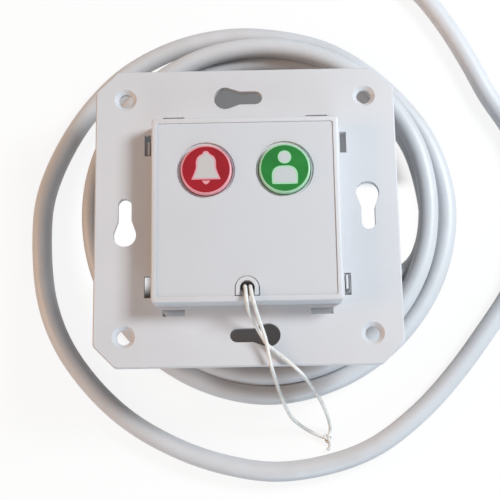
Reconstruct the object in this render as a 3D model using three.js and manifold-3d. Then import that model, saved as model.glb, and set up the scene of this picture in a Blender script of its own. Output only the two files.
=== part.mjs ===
// Nurse call wall module: a mounting plate for a 60 mm wall box, with a raised square call
// unit on it. The unit has a call button, a presence button and a pull cord, and its cable
// lies coiled behind the plate. The module lies face up, as it does on a bench: +Z points out
// of its face and +Y to its top. The origin is the middle of the rear housing's back.
import * as THREE from 'three';
import { mergeVertices } from 'three/addons/utils/BufferGeometryUtils.js';
import Module from 'manifold-3d';

const wasm = await Module();
wasm.setup();

// Driving dimensions, in millimetres.

// Mounting plate.
const plateSize = 75;
const plateThickness = 2;
const plateChamfer = 5.4;
const plateCornerRadius = 1.5;
const plateEdgeBevel = 0.3;
const plateLedge = 1.8;
const fixingSpacing = 60;
const fixingHoleWidth = 3.6;
const countersinkWidth = 5.6;
const countersinkDepth = 1;
const keyholeRoundWidth = 5.7;
const keyholeSlotWidth = 3.4;
const keyholeRoundOffset = 4.9;
const keyholeSlotOffset = 2.7;
const keyholeThroat = 3.7;
const frameSlotLength = 5.4;
const frameSlotWidth = 1.6;
const frameSlotInset = 4.9;
const frameSlotClearance = 0.75;

// Raised front housing and the overlay let into its face.
const unitSize = 45.6;
const unitRise = 6.4;
const unitWall = 1.5;
const unitCornerRadius = 0.9;
const unitEdgeRadius = 0.5;
const rimWidth = 1.35;
const rimRise = 0.25;
const overlayThickness = 0.45;
const overlayClearance = 0.1;
const overlayCornerRadius = 0.6;
const deckThickness = 1.6;
const skirtDepth = 3;
const skirtWall = 1;
const skirtClearance = 0.2;

// Rear housing behind the plate.
const rearDepth = 24;
const rearClearance = 0.8;
const rearCornerRadius = 5;
const rearWall = 1.6;
const rearFloor = 1.8;
const rearEdgeBevel = 0.8;
const rearRibWidth = 1.2;
const rearRibHeight = 1.8;
const latchThickness = 1;
const latchLength = 3.6;
const latchDepth = 7;
const latchBaseHeight = 2.5;
const latchShyness = 0.5;

// The two round buttons, their legends and the switches under them.
const buttonInset = 13.3;
const buttonDrop = 13.35;
const buttonWidth = 12.5;
const buttonProud = 0.6;
const buttonClearance = 0.2;
const buttonWellWidth = 14;
const buttonCapThickness = 1.3;
const buttonInnerWidth = 10;
const buttonFlangeOverlap = 0.7;
const buttonFlangeThickness = 0.8;
const buttonEdgeRadius = 0.4;
const buttonStemWidth = 3.2;
const legendWidth = 11;
const legendThickness = 0.3;
const legendClearance = 0.05;
const switchSize = 6.2;
const switchHeight = 3.4;
const plungerWidth = 3.1;
const plungerRise = 0.8;
const plungerDepth = 1;
const buttonTravel = 0.5;
const ledLength = 1.8;
const ledWidth = 1;
const ledHeight = 0.7;

// Cord port, its collar and the pull slider behind it.
const portInset = 1.95;
const portHoleWidth = 3.6;
const collarWidth = 5.5;
const collarClearance = 0.2;
const collarFlangeWidth = 7.6;
const collarFlangeThickness = 1.1;
const collarShyness = 0.05;
const sliderOffset = 0.9;
const guideWall = 0.6;
const guideLength = 2.3;
const sliderHeadWidth = 3;
const sliderHeadLength = 3;
const sliderHeadDrop = 2;
const sliderHeadTaper = 0.3;
const sliderStemWidth = 2.6;
const sliderFlangeWidth = 4.6;
const sliderFlangeThickness = 1;
const sliderTail = 9;
const sliderArmThickness = 1.4;
const sliderArmWidth = 3;
const sliderArmDrop = 0.6;
const springWire = 0.36;
const springWidth = 4;
const springLength = 7.6;
const springTurns = 6;
const pullSwitchInset = 3.5;
const postWall = 1;
const postDepthInTail = 6;

// Circuit board and what is on it.
const boardDrop = 4.1;
const boardThickness = 1.6;
const boardClearance = 0.3;
const boardBottomInset = 6.8;
const boardNotch = 6.6;
const chipSize = 7;
const chipHeight = 1.4;
const chipInset = 8.8;
const chipRise = 6;
const terminalWidth = 15.2;
const terminalDepth = 8;
const terminalHeight = 9;
const terminalY = 2;
const terminalPitch = 3.8;
const terminalBore = 1.9;
const coreEntry = 3;
const coreStraight = 3;

// Screws.
const screwInset = 4;
const longScrewShank = 2.3;
const longScrewHead = 4.8;
const longScrewHeadHeight = 2.2;
const longScrewWell = 4;
const longScrewBite = 5.5;
const longBossWidth = 4.8;
const longPillarWidth = 6;
const pillarGap = 0.3;
const boardScrewRise = 3;
const boardScrewShank = 1.8;
const boardScrewHead = 4;
const boardScrewHeadHeight = 1.5;
const boardScrewBite = 3.2;
const boardBossWidth = 4.4;
const screwClearance = 0.2;

// Cable, its gland, its coil and the pull cord.
const cableWidth = 5.2;
const cableHeight = 6.8;
const cableExitY = -13.5;
const cableInnerLength = 4;
const tableGap = 0.1;
const glandNeckClearance = 0.3;
const glandNeckWidth = 7.8;
const glandFlangeWidth = 9.4;
const glandFlangeThickness = 1.4;
const glandTail = 5.5;
const glandTailWidth = 7;
const glandTailTaper = 0.4;
const glandBoreClearance = 0.3;
const coreWidth = 1.2;
const coreSpread = 0.85;
const bareLength = 14;
const bareFan = 2.4;
const bareTurn = 0.08;
const coilCentreX = 5;
const coilCentreY = 7;
const coilClearance = 1.05;
const coilWidth = 11.9;
const coilHeight = 10.8;
const coilEdgeRadius = 2.6;
const cordWidth = 0.95;
const cordSpread = 0.65;
const knotLength = 3;
const knotWidth = 2;
const meetingGap = 0.3;

// Levels and places worked out from them.
const plateBack = rearDepth;
const plateFront = plateBack + plateThickness;
const rimTop = plateFront + unitRise;
const overlayTop = rimTop - rimRise;
const deckTop = overlayTop - overlayThickness;
const deckBottom = deckTop - deckThickness;
const boardTop = deckBottom - boardDrop;
const boardBottom = boardTop - boardThickness;
const openingHalf = unitSize / 2 - plateLedge;
const skirtHalf = openingHalf - skirtClearance;
const rimInnerHalf = unitSize / 2 - rimWidth;
const rearHalf = openingHalf + rearClearance + rearWall;
const frameSlotOut = unitSize / 2 + frameSlotClearance + frameSlotWidth / 2;
const frameSlotAlong = unitSize / 2 - frameSlotInset;
const fixingHalf = fixingSpacing / 2;
const buttonX = unitSize / 2 - buttonInset;
const buttonY = unitSize / 2 - buttonDrop;
const portY = portInset - rimInnerHalf;
const sliderY = portY + sliderOffset;
const screwSpot = skirtHalf - screwInset;
const boardBottomY = boardBottomInset - skirtHalf;
const boardScrewLowerY = boardBottomY + boardScrewRise;
const pullSwitchY = boardBottomY + pullSwitchInset;
const chipX = chipInset - skirtHalf;
const chipY = boardBottomY + chipRise;
const quarterTurns = [0, 1, 2, 3];
const sides = [-1, 1];

// Solids: each geometry becomes a closed solid, which can be joined to others or cut by them.
const cornerSteps = 3;
const archSteps = 8;
const roundSteps = 32;
const smallRoundSteps = 16;
const coilSteps = 56;

function solid(geometry) {
  const bare = geometry.clone();
  bare.deleteAttribute('normal');
  bare.deleteAttribute('uv');
  const merged = mergeVertices(bare, 1e-4);
  const corners = merged.index.array;
  const kept = [];
  for (let i = 0; i < corners.length; i += 3) {
    const [a, b, c] = [corners[i], corners[i + 1], corners[i + 2]];
    if (a !== b && b !== c && c !== a) kept.push(a, b, c);
  }
  const vertProperties = new Float32Array(merged.attributes.position.array);
  const mesh = new wasm.Mesh({ numProp: 3, vertProperties, triVerts: new Uint32Array(kept) });
  return new wasm.Manifold(mesh);
}

function extruded(shape, bottom, top, bevel = 0, bevelSteps = 1) {
  const geometry = new THREE.ExtrudeGeometry(shape, {
    depth: top - bottom - 2 * bevel,
    curveSegments: cornerSteps,
    bevelEnabled: bevel > 0,
    bevelThickness: bevel,
    bevelSize: bevel,
    bevelOffset: -bevel,
    bevelSegments: bevelSteps,
  });
  return solid(geometry.translate(0, 0, bottom + bevel));
}

function block(low, high) {
  const size = high.map((value, i) => value - low[i]);
  const middle = high.map((value, i) => (value + low[i]) / 2);
  return solid(new THREE.BoxGeometry(...size).translate(...middle));
}

function cylinder(width, bottom, top, x = 0, y = 0, steps = roundSteps, topWidth = width) {
  const geometry = new THREE.CylinderGeometry(topWidth / 2, width / 2, top - bottom, steps);
  return solid(geometry.rotateX(Math.PI / 2).translate(x, y, (bottom + top) / 2));
}

function revolved(profile, steps = roundSteps) {
  const outline = profile.map(([radius, height]) => new THREE.Vector2(radius, height));
  return solid(new THREE.LatheGeometry(outline, steps).rotateX(Math.PI / 2));
}

function tube(curve, width, steps, faces) {
  const section = new THREE.Shape();
  for (let i = 0; i < faces; i += 1) {
    const angle = (2 * Math.PI * i) / faces;
    const place = [(width / 2) * Math.cos(angle), (width / 2) * Math.sin(angle)];
    if (i === 0) section.moveTo(...place);
    else section.lineTo(...place);
  }
  section.closePath();
  return solid(new THREE.ExtrudeGeometry(section, { steps, extrudePath: curve, bevelEnabled: false }));
}

function route(points) {
  return new THREE.CatmullRomCurve3(points.map((point) => new THREE.Vector3(...point)), false, 'centripetal');
}

function joined(parts) {
  return parts.reduce((whole, part) => whole.add(part));
}

function cut(whole, tools) {
  return tools.reduce((rest, tool) => rest.subtract(tool), whole);
}

function turned(part, quarters) {
  return part.rotate([0, 0, 90 * quarters]);
}

// Outlines.
function squareOutline(size, radius) {
  const half = size / 2;
  const flat = half - radius;
  const shape = new THREE.Shape();
  shape.moveTo(half, -flat);
  shape.absarc(flat, flat, radius, 0, Math.PI / 2);
  shape.absarc(-flat, flat, radius, Math.PI / 2, Math.PI);
  shape.absarc(-flat, -flat, radius, Math.PI, 1.5 * Math.PI);
  shape.absarc(flat, -flat, radius, 1.5 * Math.PI, 2 * Math.PI);
  return shape;
}

function chamferedOutline(size, chamfer, radius) {
  const half = size / 2;
  const corner = half - chamfer;
  const setback = radius * Math.tan(Math.PI / 8);
  const inner = half - radius;
  const shape = new THREE.Shape();
  for (const quarter of quarterTurns) {
    const turn = (quarter * Math.PI) / 2;
    const centres = [[inner, corner - setback], [corner - setback, inner]];
    centres.forEach(([x, y], i) => {
      const centreX = x * Math.cos(turn) - y * Math.sin(turn);
      const centreY = x * Math.sin(turn) + y * Math.cos(turn);
      const start = turn + (i * Math.PI) / 4;
      shape.absarc(centreX, centreY, radius, start, start + Math.PI / 4);
    });
  }
  return shape;
}

function keyholeOutline() {
  const roundRadius = keyholeRoundWidth / 2;
  const slotRadius = keyholeSlotWidth / 2;
  const throatReach = Math.hypot(slotRadius, keyholeThroat);
  const touch = Math.atan2(-keyholeThroat, slotRadius) + Math.acos(roundRadius / throatReach);
  const shape = new THREE.Shape();
  shape.absarc(fixingHalf, keyholeRoundOffset, roundRadius, touch, Math.PI - touch);
  shape.absarc(fixingHalf, -keyholeSlotOffset, slotRadius, Math.PI, 2 * Math.PI);
  const throatY = keyholeRoundOffset - keyholeThroat;
  const points = shape.getPoints(archSteps);
  const slotStart = points.findIndex((point) => point.y < 0);
  points.splice(slotStart, 0, new THREE.Vector2(fixingHalf - slotRadius, throatY));
  points.push(new THREE.Vector2(fixingHalf + slotRadius, throatY));
  return new THREE.Shape(points);
}

function archOutline(width, footY, grown = 0) {
  const radius = width / 2 + grown;
  const shape = new THREE.Shape();
  shape.moveTo(radius, footY);
  shape.lineTo(radius, portY);
  shape.absarc(0, portY, radius, 0, Math.PI);
  shape.lineTo(-radius, footY);
  return new THREE.Shape(shape.getPoints(archSteps));
}

// Mounting plate: chamfered square with its fixing holes, keyholes and cover frame slots.
function mountingPlate() {
  const plate = extruded(
    chamferedOutline(plateSize, plateChamfer, plateCornerRadius),
    plateBack,
    plateFront,
    plateEdgeBevel,
  );
  const through = [plateBack - 1, plateFront + 1];
  const opening = extruded(squareOutline(2 * openingHalf, 1), ...through);
  const keyhole = extruded(keyholeOutline(), ...through);
  const slotHalf = [frameSlotWidth / 2, frameSlotLength / 2];
  const tools = [opening];
  for (const quarter of quarterTurns) {
    tools.push(turned(keyhole, quarter));
    for (const side of sides) {
      const middle = [frameSlotOut, side * frameSlotAlong];
      const low = middle.map((value, i) => value - slotHalf[i]);
      const high = middle.map((value, i) => value + slotHalf[i]);
      tools.push(turned(block([...low, through[0]], [...high, through[1]]), quarter));
    }
    const hole = cylinder(fixingHoleWidth, ...through, fixingHalf, fixingHalf, roundSteps / 2);
    const sinkTop = plateFront + countersinkDepth;
    const sinkTopWidth = 2 * countersinkWidth - fixingHoleWidth;
    const sink = cylinder(fixingHoleWidth, plateFront - countersinkDepth, sinkTop, fixingHalf, fixingHalf,
      roundSteps / 2, sinkTopWidth);
    tools.push(turned(hole, quarter), turned(sink, quarter));
  }
  return cut(plate, tools);
}

// Places of the buttons and screws.
const buttonXs = { call: -buttonX, presence: buttonX };
const longScrewSpots = [[screwSpot, screwSpot], [-screwSpot, -screwSpot]];
const boardScrewSpots = [[-screwSpot, screwSpot], [screwSpot, boardScrewLowerY]];
const buttonHoleWidth = buttonWidth + 2 * buttonClearance;
const bossBottom = plateFront - skirtDepth - pillarGap;
const longBoreTop = bossBottom + longScrewBite + 2 * screwClearance;
const boardBoreTop = boardTop + boardScrewBite + screwClearance;
const guideBottom = deckBottom - collarFlangeThickness - guideLength;

// Front housing: the raised box, with a rim, a sunk deck, a locating skirt and screw bosses.
function frontHousing() {
  const outer = extruded(
    squareOutline(unitSize, unitCornerRadius),
    plateFront - 2 * unitEdgeRadius,
    rimTop,
    unitEdgeRadius,
    2,
  );
  const underside = block([-unitSize, -unitSize, plateBack - unitSize], [unitSize, unitSize, plateFront]);
  const recess = extruded(squareOutline(2 * rimInnerHalf, overlayCornerRadius), deckTop, rimTop + 1);
  const innerSize = unitSize - 2 * unitWall;
  const inside = extruded(squareOutline(innerSize, unitCornerRadius), plateFront - 1, deckBottom);
  const ledgeTop = plateFront + skirtWall;
  const collarOfSkirt = joined([
    extruded(squareOutline(2 * skirtHalf, unitCornerRadius), plateFront - skirtDepth, ledgeTop),
    extruded(squareOutline(innerSize + unitWall, unitCornerRadius), plateFront, ledgeTop),
  ]);
  const skirtHole = extruded(
    squareOutline(2 * (skirtHalf - skirtWall), unitCornerRadius),
    plateFront - skirtDepth - 1,
    ledgeTop + 1,
  );
  const pullRoom = collarFlangeWidth / 2 + meetingGap;
  const pullGate = block(
    [-pullRoom, -innerSize / 2, plateFront - skirtDepth - 1],
    [pullRoom, boardBottomY, deckBottom],
  );
  const shell = cut(outer, [underside, recess, inside]);
  const skirt = cut(collarOfSkirt, [skirtHole, pullGate]);
  const bosses = [
    ...longScrewSpots.map(([x, y]) => cylinder(longBossWidth, bossBottom, deckTop, x, y, smallRoundSteps)),
    ...boardScrewSpots.map(([x, y]) => cylinder(boardBossWidth, boardTop, deckTop, x, y, smallRoundSteps)),
  ];
  const longBore = longScrewShank + 2 * screwClearance;
  const boardBore = boardScrewShank + 2 * screwClearance;
  const holes = [
    ...longScrewSpots.map(([x, y]) => cylinder(longBore, bossBottom - 1, longBoreTop, x, y, smallRoundSteps)),
    ...boardScrewSpots.map(([x, y]) => cylinder(boardBore, boardTop - 1, boardBoreTop, x, y, smallRoundSteps)),
    ...Object.values(buttonXs).map((x) => cylinder(buttonHoleWidth, deckBottom - 1, deckTop + 1, x, buttonY)),
    extruded(archOutline(collarWidth, -rimInnerHalf, collarClearance), deckBottom - 1, deckTop + 1),
  ];
  return cut(joined([shell, skirt, ...bosses]), holes);
}

// Face overlay: a thin sheet in the recess, with wells round the buttons and an arch at the port.
function faceOverlay() {
  const size = 2 * (rimInnerHalf - overlayClearance);
  const sheet = extruded(squareOutline(size, overlayCornerRadius), deckTop, overlayTop);
  const through = [deckTop - 1, overlayTop + 1];
  const wells = Object.values(buttonXs).map((x) => cylinder(buttonWellWidth, ...through, x, buttonY));
  const arch = extruded(archOutline(collarWidth, -unitSize / 2, collarClearance), ...through);
  return cut(sheet, [...wells, arch]);
}

// Rear housing: a round-cornered box open at the plate, with pillars, ribs and two latch arms.
function rearOutline(inset) {
  return squareOutline(2 * (rearHalf - inset), rearCornerRadius - inset);
}

function latchArm() {
  const inner = frameSlotOut - latchThickness / 2;
  const outer = frameSlotOut + latchThickness / 2;
  const start = frameSlotAlong - frameSlotLength / 2 + meetingGap;
  const base = plateBack - latchDepth;
  const shape = new THREE.Shape();
  shape.moveTo(inner, base);
  shape.lineTo(outer, base);
  shape.lineTo(outer, plateFront - latchShyness - latchThickness / 2);
  shape.lineTo(outer - latchThickness / 2, plateFront - latchShyness);
  shape.lineTo(inner, plateFront - latchShyness);
  const arm = solid(new THREE.ExtrudeGeometry(shape, { depth: latchLength, bevelEnabled: false })
    .rotateX(Math.PI / 2));
  const root = block(
    [rearHalf - 3 * rearWall, -start - latchLength, base],
    [outer, -start, base + latchBaseHeight],
  );
  return arm.translate([0, -start, 0]).add(root);
}

function rearHousing() {
  const outer = extruded(rearOutline(0), 0, plateBack + rearEdgeBevel, rearEdgeBevel);
  const aboveRim = block([-plateSize, -plateSize, plateBack], [plateSize, plateSize, plateFront]);
  const trimmed = cut(outer, [aboveRim]);
  const arms = latchArm();
  const cavity = extruded(rearOutline(rearWall), rearFloor, plateBack + 1);
  const shell = cut(joined([trimmed, arms, arms.rotate([0, 0, 180])]), [cavity]);
  const pillarTop = bossBottom - pillarGap;
  const pillars = longScrewSpots.map(([x, y]) => (
    cylinder(longPillarWidth, rearFloor - 1, pillarTop, x, y, smallRoundSteps)));
  const postBore = sliderStemWidth + 2 * meetingGap;
  const post = cylinder(postBore + 2 * postWall, rearFloor - 1, sliderTail + postDepthInTail, 0, sliderY,
    smallRoundSteps);
  const ribReach = rearHalf - rearWall / 2;
  const ribs = sides.map((side) => block(
    [side * screwSpot / 2 - rearRibWidth / 2, -ribReach, rearFloor - 1],
    [side * screwSpot / 2 + rearRibWidth / 2, ribReach, rearFloor + rearRibHeight],
  ));
  const wells = longScrewSpots.flatMap(([x, y]) => [
    cylinder(longScrewHead + 2 * screwClearance, -1, longScrewWell, x, y, smallRoundSteps),
    cylinder(longScrewShank + 2 * screwClearance, -1, plateBack, x, y, smallRoundSteps),
  ]);
  const glandHole = solid(new THREE.CylinderGeometry(
    glandNeckWidth / 2 + glandNeckClearance,
    glandNeckWidth / 2 + glandNeckClearance,
    4 * rearWall,
    smallRoundSteps,
  ).rotateZ(Math.PI / 2).translate(rearHalf, cableExitY, cableHeight));
  const postHole = cylinder(postBore, sliderTail - meetingGap, plateBack, 0, sliderY, smallRoundSteps);
  return cut(joined([shell, ...pillars, post, ...ribs]), [...wells, glandHole, postHole]);
}

// Buttons: a hollow cap with a retaining flange, the legend let into it, and the switch below.
const capTop = rimTop + buttonProud;
const capUnderside = capTop - buttonCapThickness;
const flangeTop = deckBottom - meetingGap;
const flangeBottom = flangeTop - buttonFlangeThickness;
const switchTop = boardTop + switchHeight;
const plungerTop = switchTop + plungerRise;

function buttonCap() {
  const outer = buttonWidth / 2;
  const flange = buttonHoleWidth / 2 + buttonFlangeOverlap;
  const inner = buttonInnerWidth / 2;
  const pocket = legendWidth / 2 + legendClearance;
  const floor = capTop - legendThickness;
  const edge = buttonEdgeRadius;
  const stem = buttonStemWidth / 2;
  return revolved([
    [0, plungerTop], [stem, plungerTop], [stem, capUnderside], [inner, capUnderside],
    [inner, flangeBottom], [flange, flangeBottom], [flange, flangeTop], [outer, flangeTop],
    [outer, capTop - edge], [outer - edge * (1 - Math.SQRT1_2), capTop - edge * (1 - Math.SQRT1_2)],
    [outer - edge, capTop], [pocket, capTop], [pocket, floor], [0, floor],
  ]);
}

function tactSwitch(seat, up, x, y) {
  const bodyTop = seat + up * switchHeight;
  const bore = plungerWidth + 2 * meetingGap;
  const boreEnd = bodyTop - up * (plungerDepth + buttonTravel + meetingGap);
  const half = switchSize / 2;
  const body = block(
    [x - half, y - half, Math.min(seat, bodyTop)],
    [x + half, y + half, Math.max(seat, bodyTop)],
  );
  const mouth = bodyTop + up;
  return cut(body, [
    cylinder(bore, Math.min(boreEnd, mouth), Math.max(boreEnd, mouth), x, y, smallRoundSteps),
  ]);
}

function plunger(seat, up, x, y) {
  const bodyTop = seat + up * switchHeight;
  const ends = [bodyTop - up * plungerDepth, bodyTop + up * plungerRise];
  return cylinder(plungerWidth, Math.min(...ends), Math.max(...ends), x, y, smallRoundSteps);
}

// Cord guide: the arched collar in the face, its flange under the deck and its guide tube.
const collarTop = rimTop - collarShyness;
const guideBore = sliderHeadWidth + 2 * meetingGap;
const springTop = guideBottom;

function cordGuide() {
  const footY = -rimInnerHalf + collarClearance;
  const flangeY = -(unitSize / 2 - unitWall) + meetingGap;
  const arch = extruded(archOutline(collarWidth, footY), deckBottom, collarTop);
  const flange = block(
    [-collarFlangeWidth / 2, flangeY, deckBottom - collarFlangeThickness],
    [collarFlangeWidth / 2, boardBottomY - meetingGap, deckBottom],
  );
  const guide = cylinder(guideBore + 2 * guideWall, guideBottom, deckBottom - collarFlangeThickness / 2,
    0, sliderY, smallRoundSteps);
  const mouth = extruded(archOutline(portHoleWidth, footY - 1), deckTop, collarTop + 1);
  const port = cylinder(portHoleWidth, deckBottom, deckTop + 1, 0, portY, smallRoundSteps);
  const bore = cylinder(guideBore, guideBottom - 1, deckTop - deckThickness / 2, 0, sliderY, smallRoundSteps);
  return cut(joined([arch, flange, guide]), [mouth, port, bore]);
}

// Pull slider: head that holds the cord, stem, spring flange, tail and the arm to its switch.
const springBottom = springTop - springLength;
const sliderHeadTop = deckBottom - sliderHeadDrop;
const armTop = springBottom - sliderFlangeThickness - sliderArmDrop;

function pullSlider() {
  const head = sliderHeadWidth / 2;
  const stem = sliderStemWidth / 2;
  const flange = sliderFlangeWidth / 2;
  const turnedPart = revolved([
    [0, sliderTail], [stem, sliderTail], [stem, springBottom - sliderFlangeThickness],
    [flange, springBottom - sliderFlangeThickness], [flange, springBottom], [stem, springBottom],
    [stem, sliderHeadTop - sliderHeadLength], [head, sliderHeadTop - sliderHeadLength + sliderHeadTaper],
    [head, sliderHeadTop], [0, sliderHeadTop],
  ], smallRoundSteps).translate([0, sliderY, 0]);
  const arm = block(
    [-sliderArmWidth / 2, sliderY, armTop - sliderArmThickness],
    [sliderArmWidth / 2, pullSwitchY + plungerWidth / 2, armTop],
  );
  return turnedPart.add(arm);
}

class Helix extends THREE.Curve {
  getPoint(share) {
    const angle = 2 * Math.PI * springTurns * share;
    const radius = (springWidth - springWire) / 2;
    const height = springBottom + springWire / 2 + meetingGap / 3
      + (springLength - springWire - meetingGap * (2 / 3)) * share;
    return new THREE.Vector3(radius * Math.cos(angle), sliderY + radius * Math.sin(angle), height);
  }
}

// Circuit board, controller and terminal block.
function circuitBoard() {
  const half = skirtHalf - skirtWall - boardClearance;
  const outline = new THREE.Shape();
  outline.moveTo(-half, boardBottomY);
  outline.lineTo(half, boardBottomY);
  outline.lineTo(half, half - boardNotch);
  outline.lineTo(half - boardNotch, half - boardNotch);
  outline.lineTo(half - boardNotch, half);
  outline.lineTo(-half, half);
  const board = extruded(outline, boardBottom, boardTop);
  const hole = boardScrewShank + 2 * screwClearance;
  const holes = boardScrewSpots.map(([x, y]) => (
    cylinder(hole, boardBottom - 1, boardTop + 1, x, y, smallRoundSteps)));
  return cut(board, holes);
}

const coreOrder = [
  { name: 'white', terminal: 1.5, side: 1, level: 1, bend: [[9, -6, 8.6]] },
  { name: 'brown', terminal: 0.5, side: -1, level: 1, bend: [[6, -9, 8.6]] },
  { name: 'green', terminal: -0.5, side: 1, level: -1, bend: [[3, -6.6, 5.6]] },
  { name: 'yellow', terminal: -1.5, side: -1, level: -1, bend: [[-1, -9.4, 5.6]] },
];

function terminalBlock() {
  const bottom = boardBottom - terminalHeight;
  const body = block(
    [-terminalWidth / 2, terminalY - terminalDepth / 2, bottom],
    [terminalWidth / 2, terminalY + terminalDepth / 2, boardBottom],
  );
  const bores = coreOrder.map(({ terminal }) => cylinder(
    terminalBore, bottom - 1, bottom + coreEntry + meetingGap, terminal * terminalPitch, terminalY,
    smallRoundSteps / 2));
  return cut(body, bores);
}

// Screws: a round head with a cross recess, and a plain shank for the thread.
function screw(headWidth, headHeight, shankWidth, length, seat, x, y) {
  const head = headWidth / 2;
  const shank = shankWidth / 2;
  const edge = headHeight / 4;
  const body = revolved([
    [0, seat - headHeight], [head - edge, seat - headHeight], [head, seat - headHeight + edge],
    [head, seat], [shank, seat], [shank, seat + length - shank], [0, seat + length],
  ], smallRoundSteps).translate([x, y, 0]);
  const recessHalf = headWidth / 4;
  const bladeHalf = headWidth / 16;
  const recessTop = seat - headHeight / 2;
  const recess = [[recessHalf, bladeHalf], [bladeHalf, recessHalf]].map(([halfX, halfY]) => block(
    [x - halfX, y - halfY, seat - headHeight - 1],
    [x + halfX, y + halfY, recessTop],
  ));
  return cut(body, recess);
}

// Cable gland: a bush gripping the housing wall, with a tapered bend relief outside.
const glandInner = rearHalf - rearWall;
const glandOuter = rearHalf;
const glandEnd = glandOuter + glandFlangeThickness + glandTail;

function cableGland() {
  const bore = cableWidth / 2 + glandBoreClearance;
  const neck = glandNeckWidth / 2;
  const flange = glandFlangeWidth / 2;
  const outline = [
    [bore, glandInner - glandFlangeThickness], [flange, glandInner - glandFlangeThickness],
    [flange, glandInner], [neck, glandInner], [neck, glandOuter], [flange, glandOuter],
    [flange, glandOuter + glandFlangeThickness],
    [glandTailWidth / 2 + glandTailTaper, glandOuter + glandFlangeThickness],
    [glandTailWidth / 2, glandEnd], [bore, glandEnd], [bore, glandInner - glandFlangeThickness],
  ];
  return revolved(outline, smallRoundSteps).rotate([0, 90, 0]).translate([0, cableExitY, cableHeight]);
}

// Cable: the stretch from the gland to the coil, the coil's outer shape, and the loose lead.
const floorHeight = cableWidth / 2 + tableGap;
const cableInnerEnd = glandInner - cableInnerLength;
const startRoute = [
  [cableInnerEnd, cableExitY, cableHeight],
  [glandOuter, cableExitY, cableHeight],
  [glandEnd, cableExitY, cableHeight],
  [36.2, -13.6, 5.3],
  [41.2, -11.8, 3.6],
  [45.2, -7.9, floorHeight],
  [47.5, -2.4, floorHeight],
  [48.5, 3.4, floorHeight],
  [48.6, 7, floorHeight],
];
const leadRoute = [
  [11, 56, floorHeight],
  [4, 56.3, floorHeight],
  [-8.2, 55.8, floorHeight],
  [-21.1, 52.3, floorHeight],
  [-33.3, 45.3, floorHeight],
  [-43.2, 34.8, floorHeight],
  [-50.3, 22.9, floorHeight],
  [-54.5, 11, floorHeight],
  [-55.3, 0, floorHeight],
  [-53.6, -16.8, floorHeight],
  [-49.2, -28.6, floorHeight],
  [-41.8, -39.2, floorHeight],
  [-32.4, -48.2, floorHeight],
  [-21.3, -55, floorHeight],
  [-9, -59.8, floorHeight],
  [5.8, -62.4, floorHeight],
  [20.1, -60.7, floorHeight],
  [32, -56.4, floorHeight],
  [43.8, -47.9, floorHeight],
  [53.2, -38.3, floorHeight],
  [61.9, -27.4, floorHeight],
  [69.2, -17.2, floorHeight],
  [74.6, -7, floorHeight],
  [77.3, 4, floorHeight],
  [76.6, 16, floorHeight],
  [72.6, 27.5, floorHeight],
  [66.6, 38.1, floorHeight],
  [61.8, 48.5, floorHeight],
  [56.2, 59, floorHeight],
  [49.6, 68.6, floorHeight],
  [40.8, 77, floorHeight],
  [28, 84, floorHeight],
  [13, 87.5, floorHeight],
];

const rearCornerSpot = rearHalf - rearCornerRadius;
const coilToCorner = Math.hypot(coilCentreX + rearCornerSpot, coilCentreY + rearCornerSpot);
const coilInnerRadius = coilToCorner + rearCornerRadius + coilClearance;

function coilRing(grown) {
  const inner = coilInnerRadius - grown;
  const outer = coilInnerRadius + coilWidth + grown;
  const top = coilHeight + grown;
  const edge = coilEdgeRadius + grown;
  const profile = [[inner, -grown], [outer, -grown]];
  for (const step of [0, 1, 2, 3]) {
    const angle = (step * Math.PI) / 6;
    profile.push([outer - edge + edge * Math.cos(angle), top - edge + edge * Math.sin(angle)]);
  }
  for (const step of [0, 1, 2, 3]) {
    const angle = Math.PI / 2 + (step * Math.PI) / 6;
    profile.push([inner + edge + edge * Math.cos(angle), top - edge + edge * Math.sin(angle)]);
  }
  profile.push(profile[0]);
  return revolved(profile, coilSteps).translate([coilCentreX, coilCentreY, 0]);
}

function cableStretch(points, steps) {
  return cut(tube(route(points), cableWidth, steps, 10), [coilRing(meetingGap)]);
}

function innerCore({ terminal, side, level, bend }) {
  const start = cableInnerEnd - meetingGap;
  const terminalX = terminal * terminalPitch;
  const mouth = boardBottom - terminalHeight;
  const across = cableExitY + side * coreSpread;
  const up = cableHeight + level * coreSpread;
  const points = [
    [start, across, up], [start - coreStraight, across, up], ...bend,
    [terminalX, terminalY, mouth - coreStraight], [terminalX, terminalY, mouth + coreEntry],
  ];
  return tube(route(points), coreWidth, 14, 8);
}

function bareCore({ side, level }, i) {
  const [endX, endY] = leadRoute[leadRoute.length - 1];
  const [beforeX, beforeY] = leadRoute[leadRoute.length - 2];
  const heading = Math.atan2(endY - beforeY, endX - beforeX) + bareTurn;
  const place = (along, across, height) => [
    endX + along * Math.cos(heading) - across * Math.sin(heading),
    endY + along * Math.sin(heading) + across * Math.cos(heading),
    height,
  ];
  const fan = Math.abs(i - 1.5) * bareFan;
  const points = [
    place(meetingGap, side * coreSpread, floorHeight + level * coreSpread),
    place(bareLength / 3, side * coreSpread * 1.3, floorHeight + level * coreSpread * 0.9),
    place(bareLength, side * (fan + level * coreWidth / 2), floorHeight / 2 + level * coreWidth / 3),
  ];
  return tube(route(points), coreWidth, 6, 8);
}

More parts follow.
